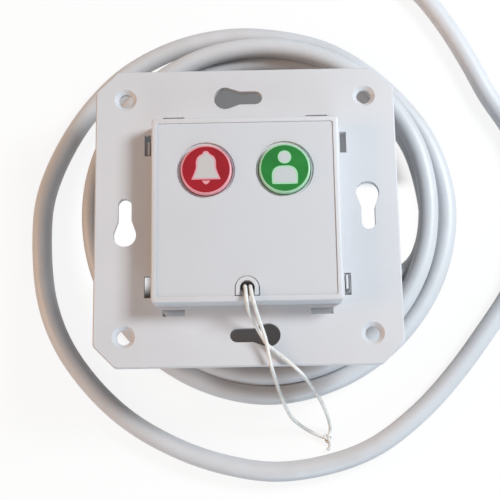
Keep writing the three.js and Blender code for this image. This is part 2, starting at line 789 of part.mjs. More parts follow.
// Pull cord: two strands from the slider's head, over the rim, to the knot on the table.
const strandRoutes = {
  pull_strand_1: [
    [-cordSpread, sliderY, sliderHeadTop + meetingGap],
    [-0.6, -18.8, 30.4],
    [-0.45, -19.5, 32.4],
    [-0.35, -21, 33.5],
    [-0.2, -22.8, 33.5],
    [0.4, -25.4, 30.8],
    [1.9, -28.2, 28],
    [3.2, -30.4, 27],
    [4.4, -32.3, 26.9],
    [6.6, -34.3, 26.9],
    [9.1, -36.3, 27],
    [11.6, -38.5, 26.4],
    [13.7, -40.2, 21],
    [15.7, -42.2, 15],
    [17.6, -44.9, 11.9],
    [19.3, -48, 8],
    [20.3, -50.4, 3],
    [20.6, -52, 1.2],
  ],
  pull_strand_2: [
    [cordSpread, sliderY, sliderHeadTop + meetingGap],
    [0.7, -18.8, 30.4],
    [0.8, -19.5, 32.4],
    [1, -21, 33.5],
    [1.4, -22.8, 33.6],
    [2.2, -25.5, 31.4],
    [3.2, -28.4, 29.3],
    [4.1, -31.2, 28.6],
    [4.7, -34.4, 27.9],
    [5.4, -37.8, 26.9],
    [6.2, -39.9, 22],
    [7.3, -42.6, 15],
    [8.6, -45.8, 11.9],
    [10.2, -48.6, 8],
    [12.5, -50.6, 3],
    [14.9, -52.1, 1.1],
    [17.3, -53.3, 1],
  ],
};
const knotSpot = [19.8, -54.1, knotWidth / 2 + tableGap / 2];

function cordKnot() {
  const ball = new THREE.SphereGeometry(1, 12, 8);
  ball.scale(knotWidth / 2, knotLength / 2, knotWidth / 2);
  ball.rotateZ(-Math.PI / 5);
  return solid(ball.translate(...knotSpot));
}

// Materials.
function plastic(color, roughness = 0.45) {
  return new THREE.MeshStandardMaterial({ color, roughness, metalness: 0 });
}

function metal(color, roughness = 0.35) {
  return new THREE.MeshStandardMaterial({ color, roughness, metalness: 1 });
}

const whitePlastic = plastic(0xe2e2e4);
const overlayFilm = plastic(0xd9dbde, 0.35);
const steel = metal(0xb8bcc0);
const coreColours = { white: 0xe8e8e6, brown: 0x6b4226, green: 0x2f7d3d, yellow: 0xd9b92b };
const buttonColours = {
  call: { cap: 0xf0b4bc, legend: 0xa02a33 },
  presence: { cap: 0xb4d8bc, legend: 0x2f7d3c },
};

// The assembly.
const group = new THREE.Group();

function addPiece(name, shape, material) {
  const { vertProperties, triVerts } = shape.getMesh();
  const geometry = new THREE.BufferGeometry();
  geometry.setAttribute('position', new THREE.BufferAttribute(new Float32Array(vertProperties), 3));
  geometry.setIndex(new THREE.BufferAttribute(new Uint32Array(triVerts), 1));
  geometry.computeVertexNormals();
  const mesh = new THREE.Mesh(geometry, material.clone());
  mesh.name = name;
  group.add(mesh);
}

addPiece('mounting_plate', mountingPlate(), whitePlastic);
addPiece('front_housing', frontHousing(), whitePlastic);
addPiece('face_overlay', faceOverlay(), overlayFilm);
addPiece('rear_housing', rearHousing(), plastic(0xd8d9da, 0.5));
addPiece('cord_guide', cordGuide(), whitePlastic);

for (const [name, x] of Object.entries(buttonXs)) {
  const colours = buttonColours[name];
  const legend = cylinder(legendWidth, capTop - legendThickness, capTop, x, buttonY);
  const ledX = x + (buttonInnerWidth / 2 + switchSize / 2) / 2;
  const led = block(
    [ledX - ledWidth / 2, buttonY - ledLength / 2, boardTop],
    [ledX + ledWidth / 2, buttonY + ledLength / 2, boardTop + ledHeight],
  );
  addPiece(`${name}_button_cap`, buttonCap().translate([x, buttonY, 0]), plastic(colours.cap, 0.3));
  addPiece(`${name}_button_legend`, legend, plastic(colours.legend, 0.3));
  addPiece(`${name}_switch`, tactSwitch(boardTop, 1, x, buttonY), plastic(0x2b2b2d));
  addPiece(`${name}_plunger`, plunger(boardTop, 1, x, buttonY), plastic(0x3a3a3c));
  addPiece(`${name}_led`, led, plastic(0xf2ead0, 0.25));
}

addPiece('circuit_board', circuitBoard(), plastic(0x1f5a3a, 0.4));
addPiece('controller_chip', block(
  [chipX - chipSize / 2, chipY - chipSize / 2, boardBottom - chipHeight],
  [chipX + chipSize / 2, chipY + chipSize / 2, boardBottom],
), plastic(0x1d1d1f, 0.5));
addPiece('terminal_block', terminalBlock(), plastic(0x2f7a4d, 0.4));
addPiece('pull_slider', pullSlider(), plastic(0xd0d0cc, 0.4));
addPiece('pull_spring', tube(new Helix(), springWire, 60, 6), steel);
addPiece('pull_switch', tactSwitch(boardBottom, -1, 0, pullSwitchY), plastic(0x2b2b2d));
addPiece('pull_switch_plunger', plunger(boardBottom, -1, 0, pullSwitchY), plastic(0x3a3a3c));

longScrewSpots.forEach(([x, y], i) => {
  const length = bossBottom + longScrewBite - longScrewWell;
  const shape = screw(longScrewHead, longScrewHeadHeight, longScrewShank, length, longScrewWell, x, y);
  addPiece(`housing_screw_${i + 1}`, shape, steel);
});
boardScrewSpots.forEach(([x, y], i) => {
  const length = boardThickness + boardScrewBite;
  const shape = screw(boardScrewHead, boardScrewHeadHeight, boardScrewShank, length, boardBottom, x, y);
  addPiece(`board_screw_${i + 1}`, shape, steel);
});

addPiece('cable_gland', cableGland(), plastic(0xc9cacb, 0.6));
addPiece('cable_start', cableStretch(startRoute, 16), plastic(0xcfcfcf, 0.5));
addPiece('cable_coil', coilRing(0), plastic(0xcfcfcf, 0.5));
addPiece('cable_lead', cableStretch(leadRoute, 60), plastic(0xcfcfcf, 0.5));
coreOrder.forEach((core, i) => {
  addPiece(`inner_core_${core.name}`, innerCore(core), plastic(coreColours[core.name], 0.4));
  addPiece(`bare_core_${core.name}`, bareCore(core, i), plastic(coreColours[core.name], 0.4));
});
for (const [name, points] of Object.entries(strandRoutes)) {
  addPiece(name, tube(route(points), cordWidth, 27, 8), plastic(0xe6e6e2, 0.8));
}
addPiece('pull_knot', cordKnot(), plastic(0xe6e6e2, 0.8));

export default group;
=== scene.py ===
import math

import bmesh
import bpy
from mathutils import Euler, Matrix, Vector


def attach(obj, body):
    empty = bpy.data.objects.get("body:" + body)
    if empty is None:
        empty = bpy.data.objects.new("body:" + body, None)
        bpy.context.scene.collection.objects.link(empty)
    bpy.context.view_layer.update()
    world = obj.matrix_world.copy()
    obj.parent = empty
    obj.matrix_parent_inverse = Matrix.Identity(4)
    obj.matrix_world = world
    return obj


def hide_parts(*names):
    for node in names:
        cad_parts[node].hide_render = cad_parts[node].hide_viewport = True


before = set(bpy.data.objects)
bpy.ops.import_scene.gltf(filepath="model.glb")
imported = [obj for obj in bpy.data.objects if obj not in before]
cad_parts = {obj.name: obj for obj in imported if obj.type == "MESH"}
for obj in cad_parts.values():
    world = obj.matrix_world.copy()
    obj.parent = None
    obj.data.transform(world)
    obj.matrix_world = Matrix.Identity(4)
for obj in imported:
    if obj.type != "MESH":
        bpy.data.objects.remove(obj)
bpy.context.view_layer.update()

# Camera: held over the module a little below its middle and tilted up its face by twelve
# degrees. Its place, tilt and roll come from the plate's corners and holes in the picture.
camera_data = bpy.data.cameras.new("photo_camera")
camera_data.lens = 73.0
camera_data.sensor_width = 36.0
camera_data.clip_start = 0.01
camera = bpy.data.objects.new("photo_camera", camera_data)
tilt = Euler((math.radians(-11.68), 0, 0)).to_matrix()
roll = Euler((0, math.radians(-0.70), 0)).to_matrix() @ Euler((0, 0, math.radians(0.92))).to_matrix()
camera.matrix_world = Matrix.Translation((0.0029, -0.0593, 0.2684)) @ (tilt @ roll).transposed().to_4x4()
bpy.context.scene.collection.objects.link(camera)
bpy.context.scene.camera = camera


# Cable: soft pale vinyl, 5.2 mm thick, drawn over its four cores. It leaves the housing at its
# right through a gland, winds two and a quarter turns behind the plate, and runs round them once
# more in a wide loose turn that nothing holds.
def add_node(tree, kind, **inputs):
    made = tree.nodes.new(kind)
    for name, value in inputs.items():
        socket = made.inputs[name.replace("_", " ")]
        if isinstance(value, bpy.types.NodeSocket):
            tree.links.new(value, socket)
        else:
            socket.default_value = value
    return made


def moulded_group():
    tree = bpy.data.node_groups.new("moulded_surface", "ShaderNodeTree")
    for name, kind, value in (
        ("Colour", "NodeSocketColor", (0.6, 0.6, 0.6, 1)),
        ("Shade", "NodeSocketColor", (0.5, 0.5, 0.5, 1)),
        ("Mottle", "NodeSocketFloat", 60.0),
        ("Grain", "NodeSocketFloat", 3000.0),
        ("Depth", "NodeSocketFloat", 0.1),
        ("Gloss low", "NodeSocketFloat", 0.35),
        ("Gloss high", "NodeSocketFloat", 0.5),
    ):
        socket = tree.interface.new_socket(name, in_out="INPUT", socket_type=kind)
        socket.default_value = value
    tree.interface.new_socket("Colour", in_out="OUTPUT", socket_type="NodeSocketColor")
    tree.interface.new_socket("Roughness", in_out="OUTPUT", socket_type="NodeSocketFloat")
    tree.interface.new_socket("Normal", in_out="OUTPUT", socket_type="NodeSocketVector")
    given = tree.nodes.new("NodeGroupInput").outputs
    place = add_node(tree, "ShaderNodeTexCoord").outputs["Object"]
    patches = add_node(tree, "ShaderNodeTexNoise", Vector=place, Scale=given["Mottle"], Detail=4.0,
                       Roughness=0.6)
    share = add_node(tree, "ShaderNodeMapRange", Value=patches.outputs["Fac"])
    share.inputs["From Min"].default_value = 0.35
    share.inputs["From Max"].default_value = 0.75
    mixed = tree.nodes.new("ShaderNodeMix")
    mixed.data_type = "RGBA"
    tree.links.new(share.outputs["Result"], mixed.inputs[0])
    tree.links.new(given["Colour"], mixed.inputs[6])
    tree.links.new(given["Shade"], mixed.inputs[7])
    grain = add_node(tree, "ShaderNodeTexNoise", Vector=place, Scale=given["Grain"], Detail=3.0)
    gloss = add_node(tree, "ShaderNodeMapRange", Value=grain.outputs["Fac"])
    tree.links.new(given["Gloss low"], gloss.inputs["To Min"])
    tree.links.new(given["Gloss high"], gloss.inputs["To Max"])
    bump = add_node(tree, "ShaderNodeBump", Strength=given["Depth"], Distance=0.00003,
                    Height=grain.outputs["Fac"])
    result = tree.nodes.new("NodeGroupOutput").inputs
    tree.links.new(mixed.outputs[2], result["Colour"])
    tree.links.new(gloss.outputs["Result"], result["Roughness"])
    tree.links.new(bump.outputs["Normal"], result["Normal"])
    return tree


moulded_surface = moulded_group()


def moulded(name, colour, shade, mottle=60.0, grain=3000.0, depth=0.12, gloss=(0.35, 0.5), **finish):
    material = bpy.data.materials.new(name)
    material.use_nodes = True
    tree = material.node_tree
    tree.nodes.clear()
    group = tree.nodes.new("ShaderNodeGroup")
    group.node_tree = moulded_surface
    group.inputs["Colour"].default_value = (*colour, 1)
    group.inputs["Shade"].default_value = (*shade, 1)
    group.inputs["Mottle"].default_value = mottle
    group.inputs["Grain"].default_value = grain
    group.inputs["Depth"].default_value = depth
    group.inputs["Gloss low"].default_value, group.inputs["Gloss high"].default_value = gloss
    shader = add_node(tree, "ShaderNodeBsdfPrincipled", Base_Color=group.outputs["Colour"],
                      Roughness=group.outputs["Roughness"], Normal=group.outputs["Normal"], **finish)
    result = tree.nodes.new("ShaderNodeOutputMaterial")
    tree.links.new(shader.outputs["BSDF"], result.inputs["Surface"])
    material.diffuse_color = (*colour, 1)
    return material


def smooth_path(points, step):
    knots = [Vector(point) for point in points]
    knots = [2 * knots[0] - knots[1], *knots, 2 * knots[-1] - knots[-2]]
    dense = []
    for a, b, c, d in zip(knots, knots[1:], knots[2:], knots[3:]):
        t1 = (b - a).length ** 0.5
        t2 = t1 + (c - b).length ** 0.5
        t3 = t2 + (d - c).length ** 0.5
        for i in range(24):
            t = t1 + (t2 - t1) * i / 24
            ab = (a * (t1 - t) + b * t) / t1
            bc = (b * (t2 - t) + c * (t - t1)) / (t2 - t1)
            cd = (c * (t3 - t) + d * (t - t2)) / (t3 - t2)
            abc = (ab * (t2 - t) + bc * t) / t2
            bcd = (bc * (t3 - t) + cd * (t - t1)) / (t3 - t1)
            dense.append((abc * (t2 - t) + bcd * (t - t1)) / (t2 - t1))
    dense.append(knots[-2])
    path = [dense[0]]
    walked = 0.0
    for before, after in zip(dense, dense[1:]):
        stretch = (after - before).length
        while walked + stretch >= step:
            before = before.lerp(after, (step - walked) / stretch)
            path.append(before)
            stretch = (after - before).length
            walked = 0.0
        walked += stretch
    if (path[-1] - dense[-1]).length > step / 3:
        path.append(dense[-1])
    else:
        path[-1] = dense[-1]
    return path


def round_cord(name, path, radius, material):
    data = bpy.data.curves.new(name, "CURVE")
    data.dimensions = "3D"
    data.bevel_depth = radius
    data.bevel_resolution = 4
    data.use_fill_caps = True
    spline = data.splines.new("POLY")
    spline.points.add(len(path) - 1)
    for point, place in zip(spline.points, path):
        point.co = (*place, 1)
    data.materials.append(material)
    piece = bpy.data.objects.new(name, data)
    bpy.context.scene.collection.objects.link(piece)
    return piece


cable_width = 0.0052
on_floor = 0.0027
route_step = 0.002
start_route = [
    (0.0178, -0.0135, 0.0068), (0.0234, -0.0135, 0.0068), (0.0303, -0.0135, 0.0068),
    (0.0362, -0.0136, 0.0053), (0.0412, -0.0118, 0.0036), (0.0452, -0.0079, on_floor),
    (0.0475, -0.0024, on_floor), (0.0485, 0.0034, on_floor),
]
coil_centre = Vector((0.005, 0.007, 0))
# The coil's radius in millimetres at every eighth of a turn, and its height along the turns.
coil_radii = [43.6, 42.6, 41.8, 42.8, 44.0, 44.7, 45.0, 44.3, 42.9, 43.4, 44.0, 44.9, 46.2, 48.4, 49.9,
              48.9, 48.6, 47.0, 49.0]
coil_heights = [(0, on_floor), (0.7, on_floor), (0.9, 0.0081), (1.5, 0.0079), (1.68, on_floor),
                (2.25, on_floor)]


def coil_point(turns):
    spot = min(int(turns * 8), len(coil_radii) - 2)
    share = turns * 8 - spot
    share = share * share * (3 - 2 * share)
    radius = (coil_radii[spot] * (1 - share) + coil_radii[spot + 1] * share) / 1000
    for (low, from_z), (high, to_z) in zip(coil_heights, coil_heights[1:]):
        if low <= turns <= high:
            rise = (turns - low) / (high - low)
            height = from_z + (to_z - from_z) * rise * rise * (3 - 2 * rise)
            break
    angle = 2 * math.pi * turns
    return coil_centre + Vector((radius * math.cos(angle), radius * math.sin(angle), height))


lead_route = [
    (-0.0082, 0.0558, on_floor), (-0.0211, 0.0523, on_floor), (-0.0333, 0.0453, on_floor),
    (-0.0432, 0.0348, on_floor), (-0.0503, 0.0229, on_floor), (-0.0545, 0.011, on_floor),
    (-0.0553, 0, on_floor), (-0.0536, -0.0168, on_floor), (-0.0492, -0.0286, on_floor),
    (-0.0418, -0.0392, on_floor), (-0.0324, -0.0482, on_floor), (-0.0213, -0.055, on_floor),
    (-0.009, -0.0598, on_floor), (0.0058, -0.0624, on_floor), (0.0201, -0.0607, on_floor),
    (0.032, -0.0564, on_floor), (0.0438, -0.0479, on_floor), (0.0532, -0.0383, on_floor),
    (0.0619, -0.0274, on_floor), (0.0692, -0.0172, on_floor), (0.0746, -0.007, on_floor),
    (0.0773, 0.004, on_floor), (0.0766, 0.016, on_floor), (0.0726, 0.0275, on_floor),
    (0.0666, 0.0381, on_floor), (0.0618, 0.0485, on_floor), (0.0562, 0.059, on_floor),
    (0.0496, 0.0686, on_floor), (0.0408, 0.077, on_floor), (0.028, 0.084, on_floor),
    (0.013, 0.0875, on_floor),
]
turns = [coil_point(i / 16) for i in range(37)]
cable_path = smooth_path([*start_route, *turns, *lead_route], route_step)
jacket = moulded("cable_jacket", (0.60, 0.61, 0.635), (0.54, 0.54, 0.55), mottle=45.0, grain=2200.0,
                 depth=0.1, gloss=(0.36, 0.5), Specular_IOR_Level=0.5)
cable = round_cord("cable", cable_path, cable_width / 2, jacket)
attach(cable, "base")
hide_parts("cable_start", "cable_coil", "cable_lead")

# Bare end of the cable: its jacket is cut back, and four cores in coloured vinyl fan out a little
# on the table. The same cores run from the gland to the terminal block inside the housing.
core_colours = {
    "white": (0.75, 0.75, 0.73),
    "brown": (0.13, 0.055, 0.025),
    "green": (0.02, 0.17, 0.04),
    "yellow": (0.68, 0.47, 0.03),
}
for name, colour in core_colours.items():
    shade = tuple(0.8 * part for part in colour)
    core_vinyl = moulded(f"core_{name}", colour, shade, mottle=200.0, gloss=(0.3, 0.42))
    for end in ("bare", "inner"):
        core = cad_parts[f"{end}_core_{name}"]
        core.data.materials.clear()
        core.data.materials.append(core_vinyl)
        core.data.polygons.foreach_set("use_smooth", [True] * len(core.data.polygons))


# Pull cord: two strands of thin string, twisted from three yarns of synthetic fibre. They run
# from the slider's head over the rim of the module, across the plate and down to the table,
# where an overhand knot joins them.
def twisted_string(name, path, radius, pitch, material):
    yarns = 3
    faces = 15
    mesh = bmesh.new()
    rings = []
    side = None
    walked = 0.0
    for i, place in enumerate(path):
        before = path[max(i - 1, 0)]
        after = path[min(i + 1, len(path) - 1)]
        along = (after - before).normalized()
        if side is None:
            side = along.orthogonal().normalized()
        side = (side - along * side.dot(along)).normalized()
        up = along.cross(side)
        if i:
            walked += (place - path[i - 1]).length
        turn = 2 * math.pi * walked / pitch
        ring = []
        for j in range(faces):
            angle = 2 * math.pi * j / faces
            lobe = abs(math.cos(yarns * angle / 2))
            reach = radius * (0.74 + 0.26 * lobe ** 0.7)
            spot = side * math.cos(angle + turn) + up * math.sin(angle + turn)
            ring.append(mesh.verts.new(place + spot * reach))
        rings.append(ring)
    for lower, upper in zip(rings, rings[1:]):
        for j in range(faces):
            mesh.faces.new((lower[j], lower[(j + 1) % faces], upper[(j + 1) % faces], upper[j]))
    mesh.faces.new(rings[0][::-1])
    mesh.faces.new(rings[-1])
    for face in mesh.faces:
        face.smooth = True
    data = bpy.data.meshes.new(name)
    mesh.to_mesh(data)
    mesh.free()
    data.materials.append(material)
    piece = bpy.data.objects.new(name, data)
    bpy.context.scene.collection.objects.link(piece)
    return piece


string_width = 0.00095
strand_pitch = 0.0021
knot_pitch = 0.0016
strand_routes = {
    "pull_strand_1": [
        (-0.00065, -0.0186, 0.0284), (-0.0006, -0.0188, 0.0304), (-0.00045, -0.0195, 0.0324),
        (-0.00035, -0.021, 0.0335), (-0.0002, -0.0228, 0.0335), (0.0004, -0.0254, 0.0308),
        (0.0019, -0.0282, 0.028), (0.0032, -0.0304, 0.027), (0.0044, -0.0323, 0.0269),
        (0.0066, -0.0343, 0.0269), (0.0091, -0.0363, 0.027), (0.0116, -0.0385, 0.0264),
        (0.0137, -0.0402, 0.021), (0.0157, -0.0422, 0.015), (0.0176, -0.0449, 0.0119),
        (0.0193, -0.048, 0.008), (0.0203, -0.0504, 0.003), (0.0206, -0.052, 0.0012),
        (0.0203, -0.0533, 0.0011),
    ],
    "pull_strand_2": [
        (0.00065, -0.0186, 0.0284), (0.0007, -0.0188, 0.0304), (0.0008, -0.0195, 0.0324),
        (0.001, -0.021, 0.0335), (0.0014, -0.0228, 0.0336), (0.0022, -0.0255, 0.0314),
        (0.0032, -0.0284, 0.0293), (0.0041, -0.0312, 0.0286), (0.0047, -0.0344, 0.0279),
        (0.0054, -0.0378, 0.0269), (0.0062, -0.0399, 0.022), (0.0073, -0.0426, 0.015),
        (0.0086, -0.0458, 0.0119), (0.0102, -0.0486, 0.008), (0.0125, -0.0506, 0.003),
        (0.0149, -0.0521, 0.0011), (0.0173, -0.0533, 0.001), (0.0189, -0.0539, 0.001),
    ],
}
string_fibre = moulded("cord_fibre", (0.82, 0.82, 0.80), (0.66, 0.65, 0.62), mottle=700.0, grain=9000.0,
                       depth=0.6, gloss=(0.6, 0.8), Sheen_Weight=0.25, Sheen_Roughness=0.5)
knot_centre = Vector((0.0198, -0.0541, 0.00105))
knot_path = []
for i in range(91):
    t = 2 * math.pi * i / 90
    knot_path.append(knot_centre + Vector((
        0.00026 * (math.sin(t) + 2 * math.sin(2 * t)),
        0.00031 * (math.cos(t) - 2 * math.cos(2 * t)),
        -0.00042 * math.sin(3 * t),
    )))
tail = [knot_centre + Vector(offset) for offset in (
    (0.0002, -0.0006, 0), (0.0005, -0.0014, -0.0003), (0.0004, -0.0024, -0.0005),
    (-0.0001, -0.0031, -0.0005),
)]
knot = twisted_string("cord_knot", knot_path, string_width * 0.42, knot_pitch, string_fibre)
knot_tail = twisted_string("cord_knot_tail", smooth_path(tail, 0.0001), string_width * 0.4, knot_pitch,
                           string_fibre)
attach(knot, "pull")
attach(knot_tail, "pull")
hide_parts("pull_knot")
for name, route in strand_routes.items():
    path = smooth_path(route, 0.00012)
    strand = twisted_string(name + "_string", path, string_width / 2, strand_pitch, string_fibre)
    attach(strand, "pull")
    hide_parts(name)


# Rear housing: a pale satin moulding behind the plate, a square box with ribs, screw pillars and
# two latch arms that reach up through the plate's slots. It and the other rigid solids are
# dressed as copies whose sharp edges are slightly rounded, as a mould leaves them.
def dressed(node_name, material, edge, body="base", segments=2):
    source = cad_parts[node_name]
    data = source.data.copy()
    data.name = node_name + "_finish"
    mesh = bmesh.new()
    mesh.from_mesh(data)
    bmesh.ops.remove_doubles(mesh, verts=mesh.verts, dist=2e-6)
    bmesh.ops.dissolve_limit(mesh, angle_limit=math.radians(1), verts=mesh.verts, edges=mesh.edges)
    bmesh.ops.recalc_face_normals(mesh, faces=mesh.faces)
    for face in mesh.faces:
        face.smooth = True
    mesh.to_mesh(data)
    mesh.free()
    if "custom_normal" in data.attributes:
        data.attributes.remove(data.attributes["custom_normal"])
    data.materials.clear()
    data.materials.append(material)
    piece = bpy.data.objects.new(node_name + "_finish", data)
    bpy.context.scene.collection.objects.link(piece)
    round_edges = piece.modifiers.new("edge_rounds", "BEVEL")
    round_edges.width = edge
    round_edges.segments = segments
    round_edges.limit_method = "ANGLE"
    round_edges.angle_limit = math.radians(32)
    round_edges.harden_normals = True
    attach(piece, body)
    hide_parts(node_name)
    return piece


housing_plastic = moulded("housing_plastic", (0.56, 0.56, 0.575), (0.52, 0.52, 0.53), mottle=40.0,
                          grain=5000.0, depth=0.35, gloss=(0.42, 0.56))
dressed("rear_housing", housing_plastic, 0.00025, segments=3)

# Screws: zinc plated steel with a little brushed grain. Two hold the rear housing to the front
# one from the back, and two small ones hold the circuit board from below.
plated = moulded("plated_steel", (0.55, 0.55, 0.57), (0.42, 0.43, 0.46), mottle=500.0, grain=9000.0,
                 depth=0.2, gloss=(0.22, 0.38), Metallic=1.0)
for name in ("housing_screw_1", "housing_screw_2", "board_screw_1", "board_screw_2"):
    dressed(name, plated, 0.00008)

# Cable gland: a soft grey rubber bush, moulded in one and pushed into a hole in the housing's
# wall. The cable passes through it and is held by it.
gland_rubber = moulded("gland_rubber", (0.5, 0.5, 0.5), (0.44, 0.44, 0.44), mottle=120.0, grain=4000.0,
                       depth=0.3, gloss=(0.6, 0.75))
dressed("cable_gland", gland_rubber, 0.0003, segments=3)

# Mounting plate: a flat white moulding with a fine grain and cut corners. Its four keyholes and
# four countersunk holes take the wall's screws, and its slots take a cover frame.
white_plastic = moulded("white_plastic", (0.60, 0.60, 0.62), (0.56, 0.56, 0.58), mottle=35.0,
                        grain=6000.0, depth=0.25, gloss=(0.4, 0.52))
dressed("mounting_plate", white_plastic, 0.0002, segments=3)

# Circuit board: glass laminate under a glossy green solder mask, with copper that shows through
# as lighter patches. It lies under the deck and carries the switches and lamps.
board_laminate = moulded("board_laminate", (0.006, 0.085, 0.03), (0.012, 0.14, 0.05), mottle=900.0,
                         grain=3000.0, depth=0.1, gloss=(0.2, 0.32), Coat_Weight=0.3)
dressed("circuit_board", board_laminate, 0.00008)

# Parts on the board: the controller and three switches with their plungers in black plastic, a
# green terminal block for the cable's cores, and two clear lamps, all soldered to the board.
black_plastic = moulded("black_plastic", (0.018, 0.018, 0.02), (0.028, 0.028, 0.03), mottle=300.0,
                        gloss=(0.4, 0.55))
terminal_plastic = moulded("terminal_plastic", (0.02, 0.16, 0.06), (0.03, 0.2, 0.08), mottle=200.0,
                           gloss=(0.35, 0.5))
led_lens = moulded("led_lens", (0.85, 0.8, 0.6), (0.8, 0.7, 0.4), mottle=900.0, gloss=(0.1, 0.2),
                   Transmission_Weight=0.3)
for name in ("controller_chip", "call_switch", "presence_switch", "pull_switch", "pull_switch_plunger"):
    dressed(name, black_plastic, 0.0001)
dressed("call_plunger", black_plastic, 0.0001, body="call_button")
dressed("presence_plunger", black_plastic, 0.0001, body="presence_button")
dressed("terminal_block", terminal_plastic, 0.0002)
dressed("call_led", led_lens, 0.00006)
dressed("presence_led", led_lens, 0.00006)

# Front housing: the raised white unit, moulded with a thin rim round its sunk deck, two wells for
# the buttons, and a skirt that drops through the plate's square opening.
dressed("front_housing", white_plastic, 0.00012, segments=2)

# Cord guide: a small arch at the bottom edge of the face, in the same white plastic, let into the
# deck. The pull cord comes out through its bore.
dressed("cord_guide", white_plastic, 0.00015, segments=3)

# Pull slider: natural acetal, which holds the cord's two strands in its head and works the pull
# switch. A plated steel spring round its stem draws it back under the guide.
natural_plastic = moulded("natural_plastic", (0.62, 0.62, 0.58), (0.56, 0.56, 0.52), mottle=120.0,
                          gloss=(0.3, 0.42), Subsurface_Weight=0.1, Subsurface_Radius=(0.001, 0.001, 0.001))
dressed("pull_slider", natural_plastic, 0.00012, body="pull")
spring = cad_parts["pull_spring"]
spring.data.materials.clear()
spring.data.materials.append(plated)

# Face overlay: a smooth satin film on a stiff sheet, cut out round the buttons and the guide and
# glued to the deck inside the rim. Its edge spreads a little over the gap it was let in with.
overlay_spread = 1.0035
overlay_film = moulded("overlay_film", (0.575, 0.585, 0.61), (0.55, 0.56, 0.585), mottle=25.0,
                       grain=4000.0, depth=0.06, gloss=(0.3, 0.38))
overlay = dressed("face_overlay", overlay_film, 0.00018, segments=3)
overlay.data.transform(Matrix.Diagonal((overlay_spread, overlay_spread, 1.0, 1.0)))

# Buttons: a round cap in translucent pink or green plastic, with a coloured disc let into its
# top. The button's sign is printed on the disc, a bell or a person, edged in the cap's colour.
button_x = 0.0095
button_y = 0.00945
cap_top = 0.033
sign_rise = 0.00002
disc_radius = 0.00572


def sign_outline(points, steps=6):
    dense = []
    count = len(points)
    for i in range(count):
        (ax, ay, sharp_a), (bx, by, sharp_b) = points[i], points[(i + 1) % count]
        before = points[i - 1]
        after = points[(i + 2) % count]
        dense.append((ax, ay))
        if sharp_a and sharp_b:
            continue
        slope_a = (0, 0) if sharp_a else ((bx - before[0]) / 2, (by - before[1]) / 2)
        slope_b = (0, 0) if sharp_b else ((after[0] - ax) / 2, (after[1] - ay) / 2)
        for j in range(1, steps):
            t = j / steps
            h1, h2 = 2 * t ** 3 - 3 * t ** 2 + 1, t ** 3 - 2 * t ** 2 + t
            h3, h4 = -2 * t ** 3 + 3 * t ** 2, t ** 3 - t ** 2
            dense.append((h1 * ax + h2 * slope_a[0] + h3 * bx + h4 * slope_b[0],
                          h1 * ay + h2 * slope_a[1] + h3 * by + h4 * slope_b[1]))
    return dense


def scaled(outline, scale_x, scale_y, middle_y):
    return [(scale_x * x, middle_y + scale_y * (y - middle_y)) for x, y in outline]


def sign(name, outlines, centre_x, radius, rise, material, body):
    mesh = bmesh.new()
    for outline in outlines:
        top = [mesh.verts.new((centre_x + radius * x, button_y + radius * y, cap_top + rise))
               for x, y in outline]
        low = [mesh.verts.new((centre_x + radius * x, button_y + radius * y, cap_top - sign_rise))
               for x, y in outline]
        mesh.faces.new(top)
        mesh.faces.new(low[::-1])
        for i in range(len(top)):
            j = (i + 1) % len(top)
            mesh.faces.new((low[i], low[j], top[j], top[i]))
    data = bpy.data.meshes.new(name)
    mesh.to_mesh(data)
    mesh.free()
    data.materials.append(material)
    piece = bpy.data.objects.new(name, data)
    bpy.context.scene.collection.objects.link(piece)
    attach(piece, body)
    return piece


disc = [(math.cos(math.pi * i / 32), math.sin(math.pi * i / 32)) for i in range(64)]


def mirrored(half):
    return half + [(-x, y, sharp) for x, y, sharp in reversed(half)]


bell = sign_outline(mirrored([
    (-0.66, -0.47, True), (0.66, -0.47, True), (0.62, -0.36, False), (0.53, -0.15, False),
    (0.46, 0.08, False), (0.45, 0.40, False), (0.36, 0.60, False), (0.17, 0.74, False),
    (0.08, 0.85, False),
])[1:-1])
clapper = sign_outline([
    (-0.19, -0.52, True), (-0.10, -0.64, False), (0.0, -0.70, False), (0.10, -0.64, False),
    (0.19, -0.52, True),
])
head = [(0.30 * math.cos(math.pi * i / 16), 0.50 + 0.30 * math.sin(math.pi * i / 16)) for i in range(32)]
shoulders = sign_outline(mirrored([
    (0.46, -0.72, False), (0.55, -0.66, False), (0.57, -0.50, False), (0.56, -0.22, False),
    (0.46, -0.02, False), (0.28, 0.09, False), (0.10, 0.11, False),
]))

